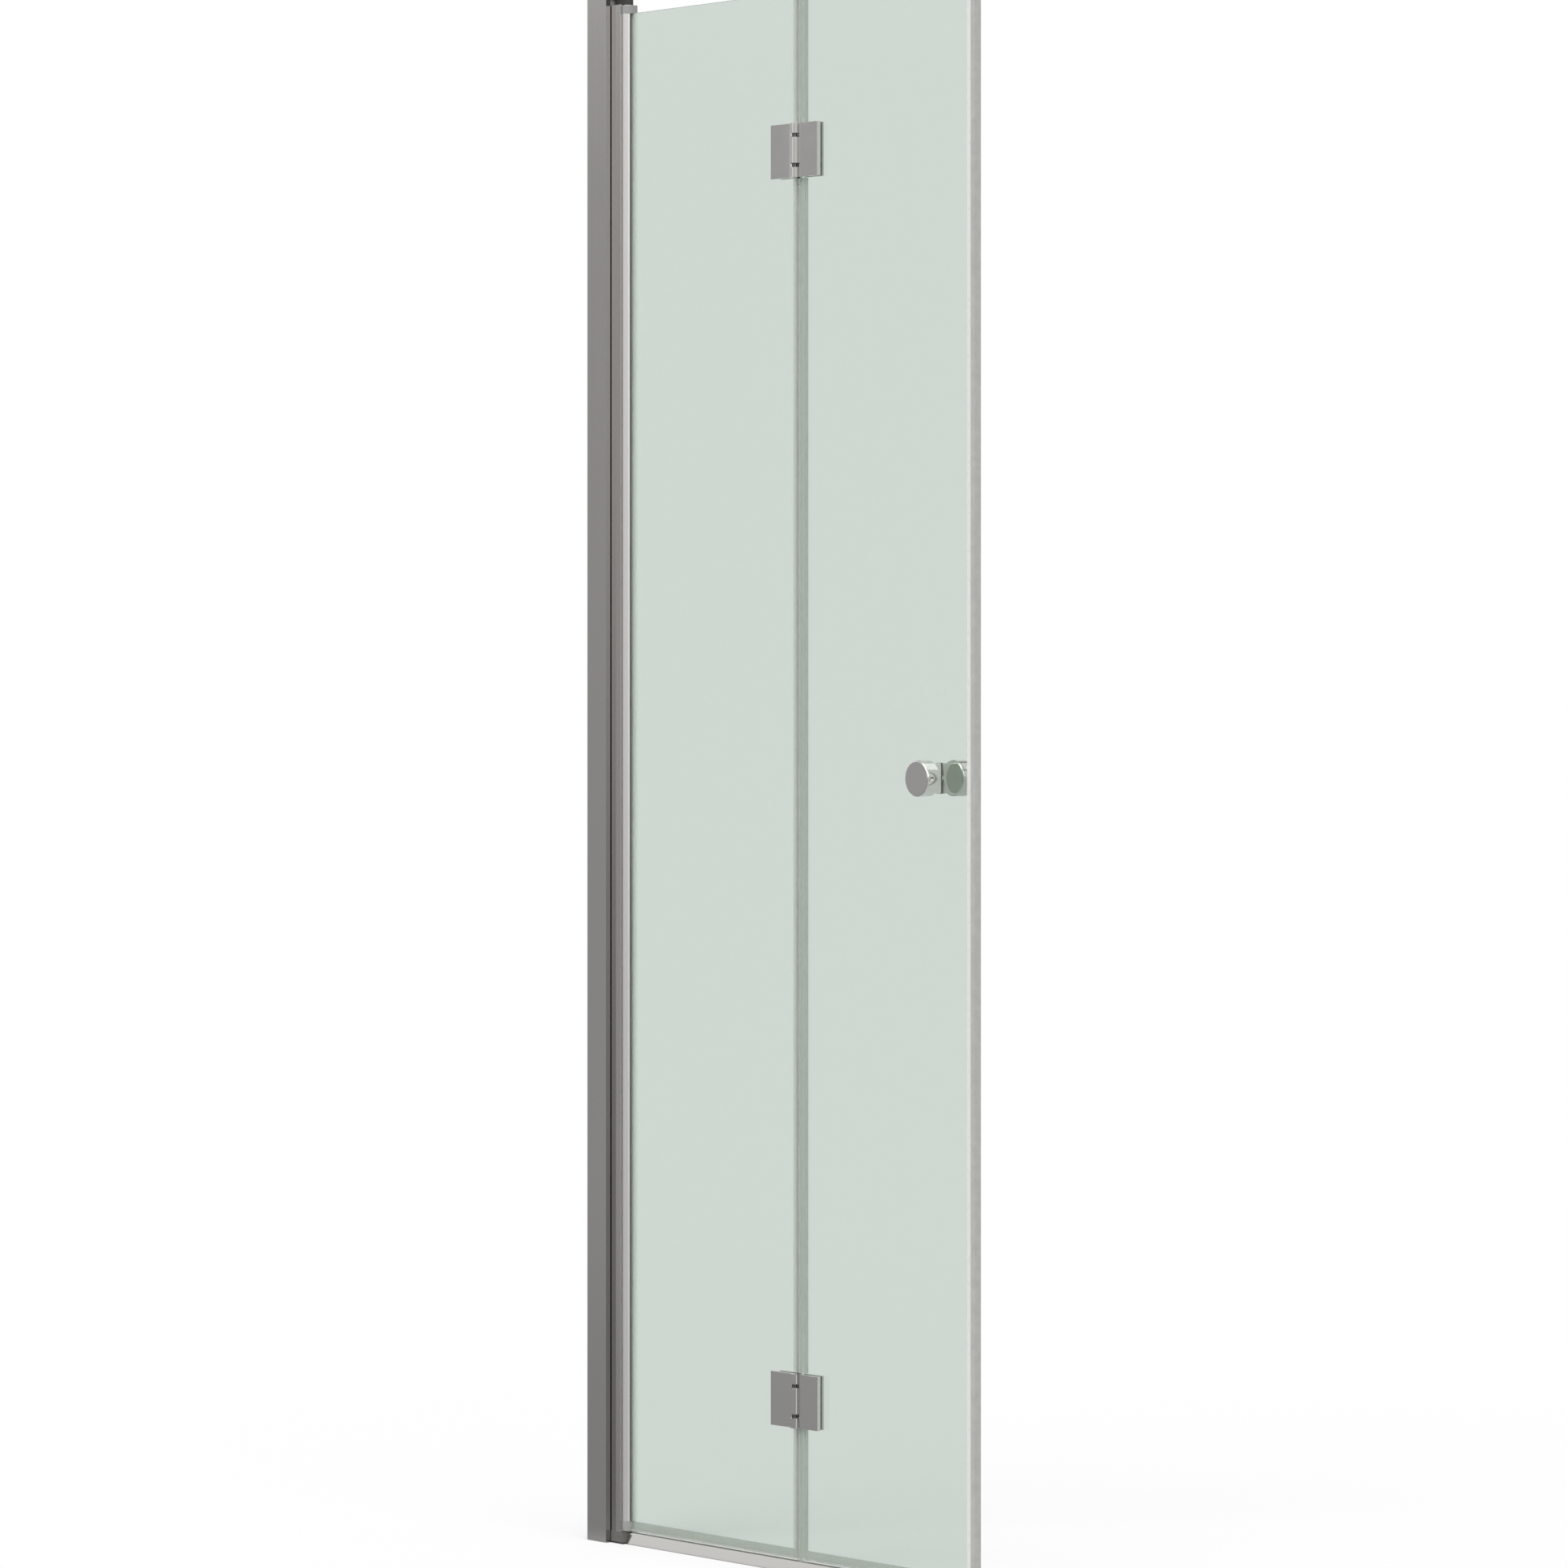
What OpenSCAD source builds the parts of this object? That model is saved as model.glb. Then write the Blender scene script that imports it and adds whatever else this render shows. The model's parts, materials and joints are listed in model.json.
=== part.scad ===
// Bifold shower door: a wall profile and post carry a two-leaf glass door.
// The inner leaf pivots on the post, and the outer leaf folds flat against it.
// X runs out from the wall along the closed door, -Y faces the room, Z is up.
// The origin is at the foot of the wall profile, in the middle of the glass.

/* [Overall] */
// Height of the whole door above the shower tray
door_h = 2000; // [1700:10:2200]
// Height of the lower edge of the glass above the tray
glass_low = 20; // [18:1:40]
// Drop from the top of the door to the upper edge of the glass
head_drop = 36; // [32:1:60]
// Thickness of the safety glass
glass_t = 6; // [5:0.5:8]
// Width of the inner glass panel
inner_w = 346; // [300:1:450]
// Width of the outer glass panel
outer_w = 330; // [280:1:345]
// Gap between the two glass panels
panel_gap = 6; // [5.6:0.1:7]

/* [Wall profile] */
// Width of the wall profile, out from the wall
wall_w = 40; // [38:1:50]
// Depth of the wall profile, front to back
wall_d = 40.8; // [40:0.2:50]
// Wall thickness of the wall profile
wall_t = 1.6; // [1.2:0.1:2]
// Depth of the returned lips beside the post
lip_d = 6.9; // [4:0.1:7]
// Diameter of the holes for the wall screws
wall_hole_d = 6; // [4:0.5:8]
// Distance of the end screw holes from the ends of the profile
wall_hole_end = 150; // [100:10:300]
// Thickness of the cover on top of the wall profile
cover_t = 2; // [1.5:0.5:3]

/* [Post] */
// Width of the post from the wall profile to the pivot axis
post_show = 20.5; // [19:0.5:35]
// Wall thickness of the post
post_t = 2; // [1.2:0.1:2.2]
// How far the post reaches into the wall profile
post_reach = 26; // [18:1:28]
// Drop from the top of the door to the top of the post
post_drop = 24; // [20:1:28]
// Width of the ribs that guide the post in the wall profile
rib_w = 6; // [4:0.5:8]
// Diameter of the clamp screws
clamp_d = 4; // [3:0.5:5]
// Distance of the end clamp screws from the ends of the post
clamp_end = 200; // [120:10:320]

/* [Pivot profile] */
// Radius of the round pivot bead
bead_r = 10; // [9.5:0.5:12]
// Gap between the pivot bead and its cup in the post
bead_gap = 0.4; // [0.3:0.1:0.6]
// Radius of the hollow along the bead
channel_r = 3.5; // [3.2:0.1:3.8]
// Distance from the pivot axis to the edge of the glass
glass_start = 5.5; // [5.4:0.1:6.5]
// Reach of the rear leg from the pivot axis
rear_leg = 10; // [9.5:0.5:26]
// Thickness of the rear leg
leg_t = 2; // [1.5:0.1:2.5]
// Thickness of the gaskets that hold the glass
gasket_t = 1.2; // [1:0.1:1.5]
// Reach of the black gasket from the pivot axis
gasket_reach = 10.6; // [10.5:0.1:14]
// Reach of the clear strip behind the glass from the pivot axis
strip_reach = 18; // [12:0.5:26]
// Reach of the end caps from the pivot axis
cap_reach = 11.8; // [10.5:0.1:14]
// Height that the lower end cap reaches up over the glass
cap_grip = 9.2; // [6:0.2:14]
// Diameter of the pivot pins
pivot_d = 6; // [5:0.5:6]
// Wall thickness of the nylon bushes
bush_t = 1.4; // [1:0.1:1.6]
// Thickness of the flange on each nylon bush
flange_t = 0.8; // [0.6:0.1:1]

/* [Hinges] */
// Height of each hinge
hinge_h = 67; // [60:1:80]
// Distance of the upper hinge's centre from the top of the glass
hinge_inset_top = 197.5; // [120:0.5:300]
// Distance of the lower hinge's centre from the foot of the glass
hinge_inset_low = 194.5; // [120:0.5:300]
// Width of the hinge plates on the inner leaf
plate_w_inner = 48; // [42:0.5:55]
// Width of the hinge plates on the outer leaf
plate_w_outer = 45; // [42:0.5:55]
// Thickness of the front hinge plates
plate_t = 5.25; // [5:0.25:8]
// Thickness of the back hinge plates
back_t = 3.5; // [3:0.1:5]
// How much narrower the back hinge plates are than the front ones
back_short = 5; // [0:0.5:6]
// Thickness of the clear pads under the plates
pad_t = 1.5; // [1:0.1:2]
// Diameter of the hinge barrel
barrel_d = 12; // [11:0.1:13]
// Height of the middle barrel
barrel_h = 32; // [26:1:36]
// Height of each end knuckle
knuckle_h = 12.3; // [9:0.1:13]
// Depth of the hinge axis behind the front of the plates
axis_depth = 1; // [0.8:0.1:1.5]
// Diameter of the hinge pins
pin_d = 5.5; // [4.5:0.1:6]
// Gap between the moving parts of a hinge
hinge_gap = 0.4; // [0.3:0.1:0.6]
// Distance from the hinge axis to the screws of the plates
screw_reach = 29; // [22:0.5:32]
// Distance of the plate screws above and below the middle
screw_rise = 18; // [14:0.5:20]
// Diameter of the holes through the glass for the hinges
glass_hole_d = 14; // [12:0.5:16]
// Diameter of the plate screws
screw_d = 6; // [5:0.5:6]

/* [Knob] */
// Distance of the knob from the free edge of the glass
knob_inset = 60.5; // [45:0.5:80]
// Height of the knob above the middle of the glass
knob_rise = -1.5; // [-200:0.5:200]
// Diameter of the knob's round head
head_d = 44; // [38:0.5:50]
// Thickness of the knob's round head
head_t = 20; // [14:0.5:24]
// Height of the flat neck
neck_h = 36.5; // [30:0.5:37]
// Width of the flat neck
neck_w = 10; // [8:0.5:10]
// Length of the neck
neck_l = 15.4; // [12:0.1:24]
// Thickness of the pads under the knob
knob_pad_t = 1.2; // [1:0.1:3]
// Diameter of the hole through the glass for the knob
knob_hole_d = 9; // [8:0.5:10]
// Diameter of the grub screws in the heads
grub_d = 5; // [4:0.5:6]
// Depth of the grub screws behind the front of the head
grub_depth = 7; // [6:0.5:10]

/* [Seals] */
// Wall thickness of the clip-on seals
seal_t = 0.8; // [0.6:0.1:1.2]
// Width of the legs of the seal on the inner panel's fold edge
inner_leg = 6.5; // [5:0.5:12]
// Width of the legs of the seal on the outer panel's fold edge
outer_leg = 11; // [5:0.5:12]
// Width of the legs of the magnetic seal
edge_leg = 8; // [6:0.5:12]
// Width of the magnetic strip
magnet_w = 6.5; // [4:0.1:8]
// Depth of the magnetic strip
magnet_d = 11; // [9:0.5:14]
// Drop of the bottom seals below the glass
seal_drop = 4; // [4:0.1:6]
// Running gap between the bottom seals and the threshold
sweep_gap = 0.5; // [0.4:0.1:1.5]

/* [Threshold] */
// Depth of the threshold in front of the glass's middle
rail_front = 8; // [6:0.5:12]
// Depth of the threshold behind the glass's middle
rail_back = 14; // [10:0.5:20]
// Set-back of the threshold's leaning front at its top
rail_lean = 3.5; // [1:0.5:4.5]
// Thickness of the threshold's end cap
rail_cap_t = 2.5; // [1.5:0.5:4]
// Thickness of the black rubber pad under the foot
foot_pad_t = 2; // [1:0.5:3]

/* [Hidden] */
$fn = 48;

eps = 0.01;
// Play of a turning pin in its bush, and of a piece that slides into another
run_play = 0.05;
// Gap below and above the turning bush flanges
seat_gap = 0.3;

// Levels above the tray
glass_top = door_h - head_drop;
glass_h = glass_top - glass_low;
glass_mid = (glass_low + glass_top) / 2;
threshold_h = glass_low - seal_drop - sweep_gap;
post_top = door_h - post_drop;
cap_low = threshold_h + seat_gap + flange_t;
profile_low = glass_low + cap_grip;
seal_low = glass_low - seal_drop;
cap_high = post_top - seat_gap - flange_t;
hinge_levels = [glass_low + hinge_inset_low, glass_top - hinge_inset_top];
wall_holes = [for (i = [0 : 3]) wall_hole_end + i * (door_h - 2 * wall_hole_end) / 3];
clamp_levels = [clamp_end, door_h / 2, door_h - clamp_end];
knob_z = glass_mid + knob_rise;

// Places along the door
pivot_x = wall_w + post_show;
inner_left = pivot_x + glass_start;
inner_right = inner_left + inner_w;
outer_left = inner_right + panel_gap;
outer_right = outer_left + outer_w;
pin_x = (inner_right + outer_left) / 2;
knob_x = outer_right - knob_inset;
rail_start = pivot_x + pivot_d / 2 + 1.5;
rail_end = outer_right + seal_t + magnet_w;

// Places from front to back
glass_half = glass_t / 2;
slot_half = glass_half + gasket_t;
cup_r = bead_r + bead_gap;
post_half = cup_r + post_t;
wall_half = wall_d / 2;
pin_y = -(glass_half + pad_t + plate_t - axis_depth);

// The post is cut back behind the pivot so that the rear leg can swing in
rear_cut = slot_half + leg_t + seat_gap + bead_gap;
rib_x = wall_w - post_reach + (post_reach - wall_t - rib_w) / 2;
clamp_r = clamp_d / 2;
clamp_head_r = 2 * clamp_r;
clamp_head_t = clamp_r + 0.2;
cap_wall = 1;
cap_floor = 2.4;
cap_plug = 12;
bush_r = pivot_d / 2 + run_play + bush_t;
flange_r = bush_r + 1.5;
block_half = 6.5;
block_gap = 2;
block_plug = 25;
foot_plug = 20;
pin_hold = 9;

// Hinge sizes
barrel_r = barrel_d / 2;
barrel_clear = barrel_r + hinge_gap;
hinge_bush_r = pin_d / 2 + run_play + bush_t;
hinge_bush_l = 12;
sleeve_r = glass_hole_d / 2 - run_play;
plate_break = 0.5;
web_front = 0.3;
head_r = 0.9 * screw_d;
head_sink = 2;
screw_bite = plate_t - 1.5;
set_screw_r = 1.5;

// Knob sizes
neck_base = glass_half + knob_pad_t;
head_base = neck_base + neck_l;
head_front = head_base + head_t;
neck_round = 1.2;
stud_r = 3;
stud_reach = head_front - grub_depth + grub_d / 2 + 1;
grub_sink = 3;
head_round = 2;

aluminium = [0.62, 0.61, 0.59];
chrome = [0.66, 0.66, 0.65];
steel = [0.72, 0.72, 0.71];
black = [0.1, 0.1, 0.1];
dark_grey = [0.32, 0.31, 0.3];
grey_plastic = [0.64, 0.65, 0.64];
clear = [0.8, 0.84, 0.81, 0.6];
glass_colour = [0.81, 0.84, 0.82, 0.4];
magnet_grey = [0.69, 0.69, 0.67];

// ---- Helpers that give an outline its place ----

// Extrudes an outline seen from above between two levels
module upright(low, high) {
    translate([0, 0, low]) linear_extrude(high - low) children();
}

// Two rectangles, mirrored in front of and behind the glass
module pair(x0, x1, y0, y1) {
    span(x0, x1, y0, y1);
    span(x0, x1, -y1, -y0);
}

// Extrudes an outline drawn in Y and Z along the door
module along(start, length) {
    translate([start, 0, 0]) rotate([90, 0, 90]) linear_extrude(length) children();
}

// A round bar or hole along Y, from one depth to another
module crosswise(x, z, r, near, far) {
    translate([x, far, z]) rotate([90, 0, 0]) cylinder(r = r, h = far - near);
}

// A rectangle from its low to its high corner
module span(x0, x1, y0, y1) {
    translate([x0, y0]) square([x1 - x0, y1 - y0]);
}

// Stretches of the panel edge that the hinges leave free
seal_runs = [
    [seal_low, hinge_levels[0] - hinge_h / 2 - 1],
    [hinge_levels[0] + hinge_h / 2 + 1, hinge_levels[1] - hinge_h / 2 - 1],
    [hinge_levels[1] + hinge_h / 2 + 1, glass_top]
];

// ---- Frame on the wall ----

module wall_outline() {
    difference() {
        span(0, wall_w, -wall_half, wall_half);
        span(wall_t, wall_w - wall_t, -wall_half + wall_t, wall_half - wall_t);
        span(wall_t, wall_w + 1, -wall_half + lip_d, wall_half - lip_d);
    }
}

module wall_profile() {
    color(aluminium) difference() {
        upright(0, door_h - cover_t) wall_outline();
        for (z = wall_holes)
            translate([-1, 0, z]) rotate([0, 90, 0]) cylinder(d = wall_hole_d, h = wall_t + 2);
        for (z = clamp_levels)
            crosswise(rib_x + rib_w / 2, z, clamp_r + run_play, wall_half - wall_t - 1, wall_half + 1);
    }
}

// A flat cover with two tongues that grip inside the profile
module wall_profile_cover() {
    color(grey_plastic) {
        upright(door_h - cover_t, door_h) span(0, wall_w, -wall_half, wall_half);
        upright(door_h - cover_t - 8, door_h - cover_t / 2)
            pair(wall_t + 1, wall_w - wall_t - 1, block_half + 2, wall_half - wall_t - run_play);
    }
}

// A channel whose closed end is a round cup for the pivot bead
module post_outline() {
    difference() {
        span(-post_show - post_reach, 0, -post_half, post_half);
        circle(cup_r);
        span(-post_show - post_reach - 1, -post_half, -cup_r, cup_r);
        span(-rear_cut, 1, 0, post_half + 1);
    }
}

module post_profile() {
    color(aluminium) difference() {
        upright(threshold_h, post_top) {
            translate([pivot_x, 0]) post_outline();
            pair(rib_x, rib_x + rib_w, cup_r + post_t / 2, wall_half - wall_t);
        }
        for (z = clamp_levels)
            crosswise(rib_x + rib_w / 2, z, clamp_r, cup_r - 1, wall_half);
    }
}

// Pan-head screws that lock the post in the wall profile, at the back
module clamp_screws() {
    color(steel) for (z = clamp_levels) difference() {
        union() {
            crosswise(rib_x + rib_w / 2, z, clamp_r, cup_r, wall_half + eps);
            crosswise(rib_x + rib_w / 2, z, clamp_head_r, wall_half, wall_half + clamp_head_t);
        }
        translate([rib_x + rib_w / 2, wall_half + clamp_head_t + 1, z]) rotate([90, 0, 0])
            cylinder(r = clamp_r * 0.7, h = clamp_head_t, $fn = 6);
    }
}

// Push-on caps over the clamp screws
module clamp_screw_caps() {
    rim = clamp_head_r + run_play;
    top = wall_half + clamp_head_t + run_play;
    color(grey_plastic) for (z = clamp_levels) difference() {
        crosswise(rib_x + rib_w / 2, z, rim + cap_wall, wall_half, top + cap_wall);
        crosswise(rib_x + rib_w / 2, z, rim, wall_half - 1, top);
    }
}

// Round-nosed block on top of the post that holds the upper pivot pin
module head_block() {
    back = wall_w - post_reach + 2;
    color(black) difference() {
        union() {
            upright(post_top, door_h - cover_t - block_gap) {
                translate([pivot_x, 0]) circle(block_half);
                span(wall_w + 1.5, pivot_x, -block_half, block_half);
            }
            upright(post_top - block_plug, post_top)
                span(back, pivot_x - post_half - 1, -cup_r + run_play, cup_r - run_play);
        }
        translate([pivot_x, 0, post_top - 1]) cylinder(d = pivot_d, h = pin_hold + 1);
    }
}

module foot_outline() {
    span(wall_w - post_reach + 2, rail_start, -post_half, post_half);
}

// Block under the post that carries the lower pivot pin and the door's weight
module foot_block() {
    back = wall_w - post_reach + 2;
    color(dark_grey) difference() {
        union() {
            upright(foot_pad_t, threshold_h) foot_outline();
            upright(threshold_h - 1, threshold_h + foot_plug)
                span(back, pivot_x - post_half - 1, -cup_r + run_play, cup_r - run_play);
        }
        translate([pivot_x, 0, threshold_h - pin_hold])
            cylinder(d = pivot_d, h = pin_hold + 1);
    }
}

module foot_pad() {
    color(black) upright(0, foot_pad_t) foot_outline();
}

module pivot_pin(low, high) {
    translate([pivot_x, 0, low]) cylinder(d = pivot_d, h = high - low);
}

module head_pivot_pin() {
    color(steel) pivot_pin(glass_top + cap_floor + 1, post_top + pin_hold);
}

module foot_pivot_pin() {
    color(steel) pivot_pin(threshold_h - pin_hold, profile_low - cap_floor - 1);
}

// Raised threshold: the front leans back a little, and a long slope lies behind
module rail_outline() {
    shoulder = rail_lean - rail_front;
    polygon([[-rail_front, 0], [-rail_front, 1], [shoulder, threshold_h - 1.5],
             [shoulder + 2, threshold_h], [2, threshold_h], [rail_back, 3], [rail_back, 0]]);
}

module threshold_rail() {
    color(aluminium) along(rail_start, rail_end - rail_cap_t - rail_start) rail_outline();
}

module threshold_end_cap() {
    color(grey_plastic) along(rail_end - rail_cap_t, rail_cap_t) rail_outline();
}

// ---- Inner leaf ----

// The round bead with the glass slot behind its front and a short rear leg
module pivot_outline() {
    difference() {
        union() {
            circle(bead_r);
            span(0, rear_leg, slot_half, slot_half + leg_t);
        }
        circle(channel_r);
        span(glass_start - 0.5, rear_leg + 1, -slot_half, slot_half);
    }
}

module pivot_profile() {
    color(aluminium) upright(profile_low, glass_top)
        translate([pivot_x, 0]) pivot_outline();
}

// The end caps follow the profile's outer form and close the glass slot
module cap_outline() {
    circle(bead_r);
    span(0, cap_reach, -slot_half, slot_half + leg_t);
}

module pivot_top_cap() {
    color(grey_plastic) translate([pivot_x, 0]) difference() {
        union() {
            upright(glass_top, cap_high) cap_outline();
            upright(glass_top - cap_plug, glass_top + 1) circle(channel_r - run_play);
        }
        translate([0, 0, glass_top + cap_floor]) cylinder(r = bush_r, h = cap_high);
    }
}

module pivot_bottom_cap() {
    color(grey_plastic) translate([pivot_x, 0]) difference() {
        union() {
            upright(cap_low, profile_low) cap_outline();
            upright(profile_low - 1, profile_low + cap_plug) circle(channel_r - run_play);
        }
        upright(glass_low, profile_low + 1)
            span(glass_start, cap_reach + 1, -glass_half, glass_half);
        translate([0, 0, cap_low - 1])
            cylinder(r = bush_r, h = profile_low - cap_floor - cap_low + 1);
    }
}

module bush(outer, inner, length, flange) {
    difference() {
        union() {
            translate([0, 0, -flange_t]) cylinder(r = outer, h = length + flange_t);
            translate([0, 0, -flange_t]) cylinder(r = flange, h = flange_t);
        }
        translate([0, 0, -flange_t - 1]) cylinder(r = inner, h = length + flange_t + 2);
    }
}

module pivot_bushes() {
    inner = pivot_d / 2 + run_play;
    color("white") {
        translate([pivot_x, 0, cap_low])
            bush(bush_r, inner, profile_low - cap_floor - cap_low, flange_r);
        translate([pivot_x, 0, cap_high]) mirror([0, 0, 1])
            bush(bush_r, inner, cap_high - glass_top - cap_floor, flange_r);
    }
}

module front_gasket() {
    color(black) upright(profile_low, glass_top)
        translate([pivot_x, 0]) span(glass_start + 0.5, gasket_reach, -slot_half, -glass_half);
}

module rear_glazing_strip() {
    color(clear) upright(profile_low, glass_top)
        translate([pivot_x, 0]) span(glass_start + 0.5, strip_reach, glass_half, slot_half);
}

module hinge_holes(x) {
    for (level = hinge_levels, side = [-1, 1])
        crosswise(x, level + side * screw_rise, glass_hole_d / 2, -glass_t, glass_t);
}

module inner_glass() {
    color(glass_colour) difference() {
        upright(glass_low, glass_top)
            span(inner_left, inner_right, -glass_half, glass_half);
        hinge_holes(pin_x - screw_reach);
    }
}

// Clip-on seal with a straight front lip and a slanting lip behind
module bottom_seal_outline() {
    outer = glass_half + seal_t;
    base = 1.9;
    reach = outer + 4.6;
    translate([0, glass_low]) polygon([
        [-outer, cap_grip], [-glass_half, cap_grip], [-glass_half, 0], [glass_half, 0],
        [glass_half, cap_grip], [outer, cap_grip], [outer, -1], [reach, -seal_drop + 0.8],
        [reach, -seal_drop], [reach - 0.8, -seal_drop], [outer - 0.6, -base],
        [-outer + 1, -base], [-outer + 1, -seal_drop], [-outer, -seal_drop]
    ]);
}

module inner_bottom_seal() {
    start = pivot_x + max(cap_reach, post_half) + hinge_gap;
    color(clear) along(start, inner_right - inner_leg - start) bottom_seal_outline();
}

// Clip-on seal of a panel edge, with a stepped lip into the gap
module mid_seal_outline(leg) {
    outer = glass_half + seal_t;
    lip = panel_gap / 2 - hinge_gap / 2;
    difference() {
        span(-leg, lip, -outer, outer);
        span(-leg - 1, 0, -glass_half, glass_half);
        pair(seal_t, lip + 1, glass_half - 0.4, outer + 1);
        pair((seal_t + lip) / 2, lip + 1, glass_half - 1.2, outer + 1);
    }
}

module inner_mid_seal() {
    color(clear) for (run = seal_runs)
        upright(run[0], run[1]) translate([inner_right, 0]) mid_seal_outline(inner_leg);
}

// ---- Hinges ----

// Outline of a front plate to the right of the axis, with its inner front
// corner cut away so that the plates can close on each other
module plate_outline(width) {
    front = -axis_depth;
    rear = plate_t - axis_depth;
    cut = axis_depth / tan(5);
    polygon([
        [barrel_clear, rear], [barrel_clear, web_front], [cut, front],
        [width - plate_break, front], [width, front + plate_break],
        [width, rear]
    ]);
}

// Part of a knuckle's height: the round and the web that joins it to its plate
module knuckle(low, high) {
    upright(low, high) {
        circle(barrel_r);
        span(0, barrel_clear + 1, web_front + 0.3, plate_t - axis_depth - 0.3);
    }
}

module plate_screw_bores(x, near, far, r) {
    for (side = [-1, 1]) crosswise(x, side * screw_rise, r, near, far);
}

// Inner front plate with both end knuckles, drawn about the hinge axis
module inner_plate() {
    tapped = -pin_y - glass_half - pad_t;
    color(chrome) difference() {
        mirror([1, 0, 0]) union() {
            upright(-hinge_h / 2, hinge_h / 2) plate_outline(plate_w_inner);
            knuckle(hinge_h / 2 - knuckle_h, hinge_h / 2);
            knuckle(-hinge_h / 2, -hinge_h / 2 + knuckle_h);
        }
        cylinder(d = pin_d, h = hinge_h + 2, center = true);
        plate_screw_bores(-screw_reach, tapped - screw_bite, tapped + 1, screw_d / 2);
        set_screw_places() cylinder(r = set_screw_r, h = barrel_r);
    }
}

// Outer front plate with the middle barrel, drawn about the hinge axis
module outer_plate() {
    tapped = -pin_y - glass_half - pad_t;
    color(chrome) difference() {
        union() {
            upright(-hinge_h / 2, hinge_h / 2) plate_outline(plate_w_outer);
            knuckle(-barrel_h / 2, barrel_h / 2);
        }
        cylinder(r = hinge_bush_r, h = hinge_h, center = true);
        plate_screw_bores(screw_reach, tapped - screw_bite, tapped + 1, screw_d / 2);
    }
}

// Back plate from the panel's edge outwards, with sunk screw heads
module back_plate(front_width) {
    width = front_width - back_short;
    near = glass_half + pad_t;
    color(chrome) difference() {
        upright(-hinge_h / 2, hinge_h / 2) polygon([
            [panel_gap / 2 + 2, near], [width, near], [width, near + back_t - plate_break],
            [width - plate_break, near + back_t], [panel_gap / 2 + 2, near + back_t]
        ]);
        plate_screw_bores(screw_reach, near - 1, near + back_t + 1, screw_d / 2);
        plate_screw_bores(screw_reach, near + back_t - head_sink, near + back_t + 1,
                          head_r + run_play);
    }
}

module hinge_pads(width) {
    start = panel_gap / 2 + 2;
    color(clear) for (level = hinge_levels) translate([0, 0, level]) difference() {
        upright(-hinge_h / 2 + 1, hinge_h / 2 - 1) {
            span(start, width - 1, -glass_half - pad_t, -glass_half);
            span(start, width - back_short - 1, glass_half, glass_half + pad_t);
        }
        plate_screw_bores(screw_reach, -glass_half - pad_t - 1, glass_half + pad_t + 1, screw_d / 2);
    }
}

module hinge_sleeves() {
    color(clear) for (level = hinge_levels) translate([0, 0, level]) difference() {
        plate_screw_bores(screw_reach, -glass_half, glass_half, sleeve_r);
        plate_screw_bores(screw_reach, -glass_t, glass_t, screw_d / 2);
    }
}

module hinge_screws() {
    near = -glass_half - pad_t - screw_bite;
    far = glass_half + pad_t + back_t;
    color(steel) for (level = hinge_levels) translate([0, 0, level]) difference() {
        union() {
            plate_screw_bores(screw_reach, near, far - head_sink + eps, screw_d / 2);
            plate_screw_bores(screw_reach, far - head_sink, far, head_r);
        }
        for (side = [-1, 1]) translate([screw_reach, far + 1, side * screw_rise])
            rotate([90, 0, 0]) cylinder(r = screw_d / 3, h = head_sink + 0.5, $fn = 6);
    }
}

module hinge_pin() {
    color(steel) cylinder(d = pin_d, h = hinge_h - 1, center = true);
}

// Places of the set screws, in the back of the end knuckles
module set_screw_places() {
    for (side = [-1, 1])
        translate([0, pin_d / 2, side * (hinge_h - knuckle_h) / 2]) rotate([-90, 0, 0]) children();
}

module on_inner_edge() {
    translate([pin_x, 0, 0]) mirror([1, 0, 0]) children();
}

module on_outer_edge() {
    translate([pin_x, 0, 0]) children();
}

module upper_hinge_inner_plate() {
    translate([pin_x, pin_y, hinge_levels[1]]) inner_plate();
}

module lower_hinge_inner_plate() {
    translate([pin_x, pin_y, hinge_levels[0]]) inner_plate();
}

module upper_hinge_inner_back() {
    translate([0, 0, hinge_levels[1]]) on_inner_edge() back_plate(plate_w_inner);
}

module lower_hinge_inner_back() {
    translate([0, 0, hinge_levels[0]]) on_inner_edge() back_plate(plate_w_inner);
}

module inner_hinge_pads() {
    on_inner_edge() hinge_pads(plate_w_inner);
}

module inner_hinge_sleeves() {
    on_inner_edge() hinge_sleeves();
}

module inner_hinge_screws() {
    on_inner_edge() hinge_screws();
}

module upper_hinge_pin() {
    translate([pin_x, pin_y, hinge_levels[1]]) hinge_pin();
}

module lower_hinge_pin() {
    translate([pin_x, pin_y, hinge_levels[0]]) hinge_pin();
}

module hinge_set_screws() {
    length = barrel_r - pin_d / 2 - 0.4;
    color(steel) for (level = hinge_levels) translate([pin_x, pin_y, level])
        set_screw_places() difference() {
            cylinder(r = set_screw_r, h = length);
            translate([0, 0, length - 1.2]) cylinder(r = set_screw_r * 0.5, h = 2, $fn = 6);
        }
}

// ---- Outer leaf ----

module upper_hinge_outer_plate() {
    translate([pin_x, pin_y, hinge_levels[1]]) outer_plate();
}

module lower_hinge_outer_plate() {
    translate([pin_x, pin_y, hinge_levels[0]]) outer_plate();
}

module upper_hinge_outer_back() {
    translate([0, 0, hinge_levels[1]]) on_outer_edge() back_plate(plate_w_outer);
}

module lower_hinge_outer_back() {
    translate([0, 0, hinge_levels[0]]) on_outer_edge() back_plate(plate_w_outer);
}

module outer_hinge_pads() {
    on_outer_edge() hinge_pads(plate_w_outer);
}

module outer_hinge_sleeves() {
    on_outer_edge() hinge_sleeves();
}

module outer_hinge_screws() {
    on_outer_edge() hinge_screws();
}

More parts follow.
